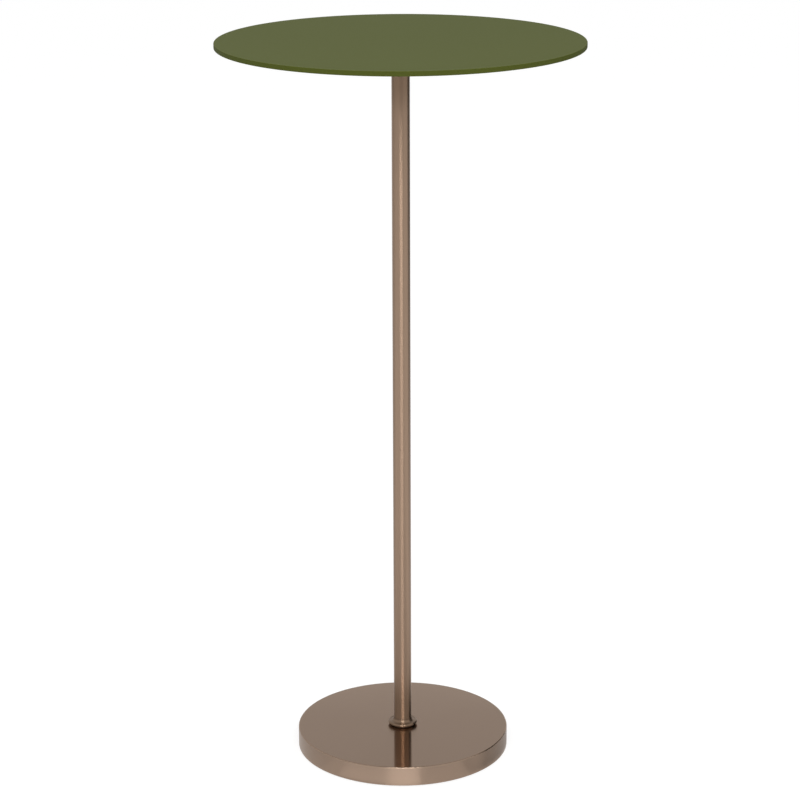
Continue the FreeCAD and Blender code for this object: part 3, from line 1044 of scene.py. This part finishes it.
def softbox(name, place, target, width, height, radiance):
    """A soft rectangular lamp that looks at a target: power = pi times area times radiance."""
    data = bpy.data.lights.new(name, "AREA")
    data.shape = "RECTANGLE"
    data.size, data.size_y = width, height
    data.energy = math.pi * width * height * radiance
    lamp = bpy.data.objects.new(name, data)
    aim = (Vector(target) - Vector(place)).to_track_quat("-Z", "Y").to_matrix().to_4x4()
    lamp.matrix_world = Matrix.Translation(place) @ aim
    lamp.visible_camera = False
    bpy.context.scene.collection.objects.link(lamp)
    print(name, round(data.energy, 2), "W")


softbox("front_softbox", LAMP_PLACE, LAMP_TARGET, LAMP_WIDTH, LAMP_HEIGHT, LAMP_RADIANCE)

# %% [markdown]
# A photographer shapes polished metal with cards: a dark one takes light off an edge, a pale one adds it.
# Only mirror images see the cards here. A tall dark flag behind to the right draws the dark line down the
# pole's right edge, which is strongest near the top. A low card close behind the base lightens the far part
# of its top.

# %% Stand up the cards
# Each upright card: first and last angle from the camera's side, distance, height, tone.
UPRIGHT_CARDS = {
    "right_flag": (92, 143, 2.3, 2.0, 0.02),
    "low_back_card": (150, 210, 0.28, 0.1, 0.8),
}


def mirror_card(name, corners, tone):
    """A card of an even tone that only mirror images see."""
    card, add, feed = sheet(name, corners)
    feed("Material Output", {"Surface": add("Emission", {"Strength": tone}).outputs[0]})
    card.visible_camera = card.visible_diffuse = card.visible_shadow = card.visible_transmission = False
    print(name, "tone", tone)


def flag(first, last, distance, height):
    """Corners of an upright card at a distance from the pole, between two angles from the camera's side."""
    turns = [math.radians(degrees) for degrees in (first, last)]
    ends = [(distance * math.sin(turn), -distance * math.cos(turn)) for turn in turns]
    return [(*ends[0], 0), (*ends[1], 0), (*ends[1], height), (*ends[0], height)]


for name, (first, last, distance, height, tone) in UPRIGHT_CARDS.items():
    mirror_card(name, flag(first, last, distance, height), tone)

# %% [markdown]
# The other cards lie on the floor, as parts of rings round the base: pale ones beside the table, dark ones
# far off and close to the foot. They shade what the pole and the wall of the base mirror from below.

# %% Lay the floor cards
CARD_LIFT = 2 * MM
RING_POINTS = 16
# Each floor card: first and last angle from the camera's side, near and far radius, tone.
FLOOR_CARDS = {
    "front_near_card": (-38, 10, 0.092, 0.15, 1.35),
    "front_foot_card": (-120, 60, 0.16, 0.25, 0.1),
    "left_side_card": (-110, -12, 0.25, 1.6, 1.4),
    "front_far_card": (-130, 35, 2.0, 9.0, 0.25),
    "right_far_card": (35, 92, 2.0, 9.0, 0.6),
    "right_side_card": (30, 150, 0.2, 1.2, 1.3),
    "right_back_card": (92, 143, 1.0, 2.3, 0.35),
    "left_back_card": (-95, -150, 0.13, 3.0, 0.8),
    "right_foot_card": (40, 165, 0.092, 0.13, 0.72),
    "left_foot_card": (-50, -165, 0.092, 0.13, 0.9),
}


def floor_ring(first, last, near, far):
    """Corners of part of a ring on the floor, between two angles from the camera's side and two radii."""
    turn = np.radians(np.linspace(first, last, RING_POINTS))
    way = np.column_stack([np.sin(turn), -np.cos(turn), np.zeros_like(turn)])
    return np.vstack([near * way, far * way[::-1]]) + (0, 0, CARD_LIFT)


for name, (first, last, near, far, tone) in FLOOR_CARDS.items():
    mirror_card(name, floor_ring(first, last, near, far), tone)

# %% [markdown]
# The picture is shown with the plain Standard view, so that no film curve comes between a finish and its
# colour.

# %% Show the colours plainly
view = bpy.context.scene.view_settings
view.view_transform = "Standard"
print("view", view.view_transform)
